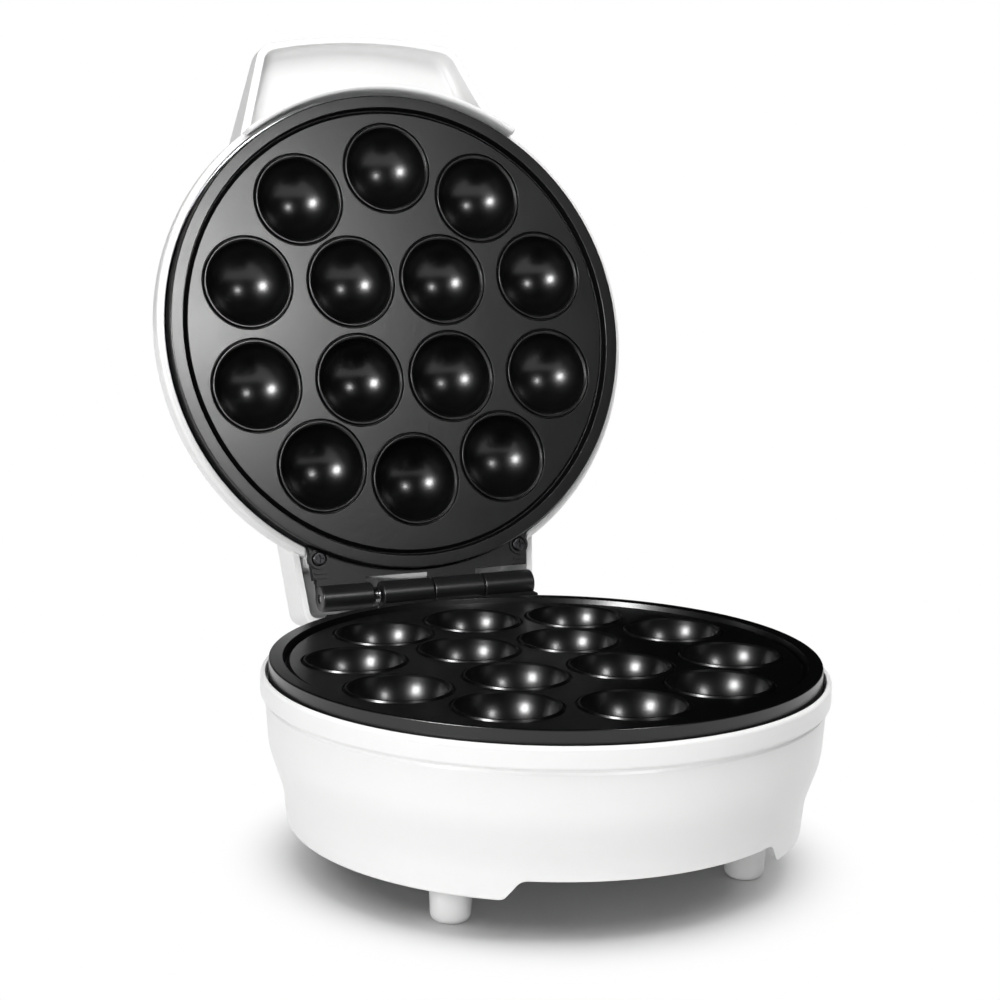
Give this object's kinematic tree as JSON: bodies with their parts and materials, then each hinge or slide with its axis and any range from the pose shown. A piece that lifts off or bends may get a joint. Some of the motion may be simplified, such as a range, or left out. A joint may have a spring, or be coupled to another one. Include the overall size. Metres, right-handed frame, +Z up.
{
  "type": "cake pop maker",
  "caption": "Round countertop cooker: lower tub on feet and a hinged lid with a scooped handle, each with a black cast plate of half-ball cups, a ring heating element and a heat shield.",
  "frame": {"origin": "middle of the footprint of the open cooker, on the worktop", "axes": "+Z up, the front and the closed lid's handle towards -Y, the hinge towards +Y with its axis along X"},
  "size_m": [0.2166, 0.313, 0.3169],
  "materials": {
    "shell_white": "smooth moulded, glossy",
    "cover_white": "painted sheet, fine grain",
    "plate_coating": "cast, black non-stick coating, satin",
    "bracket_black": "satin moulded",
    "screw_black": "blackened",
    "screw_steel": "zinc plated",
    "steel": "drawn, bright",
    "element_steel": "heat-tinted",
    "shield_aluminium": "rolled sheet",
    "shield_steel": "zinc-coated sheet",
    "foot_rubber": "matt, off-white",
    "gland_grey": "moulded",
    "block_white": "moulded",
    "thermostat_brown": "moulded, dark",
    "fuse_metal": "drawn",
    "wire_sleeve": "woven heat-proof sleeve",
    "lens_red": "clear red, polished",
    "lens_green": "clear green, polished",
    "lamp_glass": "clear"
  },
  "bodies": {
    "base": {"base_element_clips": "steel", "base_heat_shield": "shield_steel", "base_heating_element": "element_steel", "base_hinge_bracket": "bracket_black", "base_hinge_screws": "screw_black", "base_housing": "shell_white", "base_plate": "plate_coating", "base_shield_screws": "screw_steel", "base_thermal_fuse": "fuse_metal", "base_wiring": "wire_sleeve", "bottom_cover": "cover_white", "bottom_cover_screws": "screw_steel", "cord_gland": "gland_grey", "foot_front_left": "foot_rubber", "foot_front_right": "foot_rubber", "foot_rear_left": "foot_rubber", "foot_rear_right": "foot_rubber", "hinge_pin": "steel", "hinge_spring": "steel", "terminal_block": "block_white", "thermostat": "thermostat_brown"},
    "lid": {"lid_element_clips": "steel", "lid_heat_shield": "shield_aluminium", "lid_heating_element": "element_steel", "lid_hinge_bracket": "bracket_black", "lid_hinge_screws": "screw_black", "lid_plate": "plate_coating", "lid_shell": "shell_white", "lid_shield_screws": "screw_steel", "lid_thermal_fuse": "fuse_metal", "lid_wiring": "wire_sleeve", "power_lamp": "lamp_glass", "power_lens": "lens_red", "ready_lamp": "lamp_glass", "ready_lens": "lens_green"}
  },
  "joints": [
    {"name": "lid_hinge", "type": "hinge", "parent": "base", "child": "lid", "pos_m": [0, 0.06444, 0.0799], "axis": [1, 0, 0], "range_deg": [0, 104.8]}
  ]
}
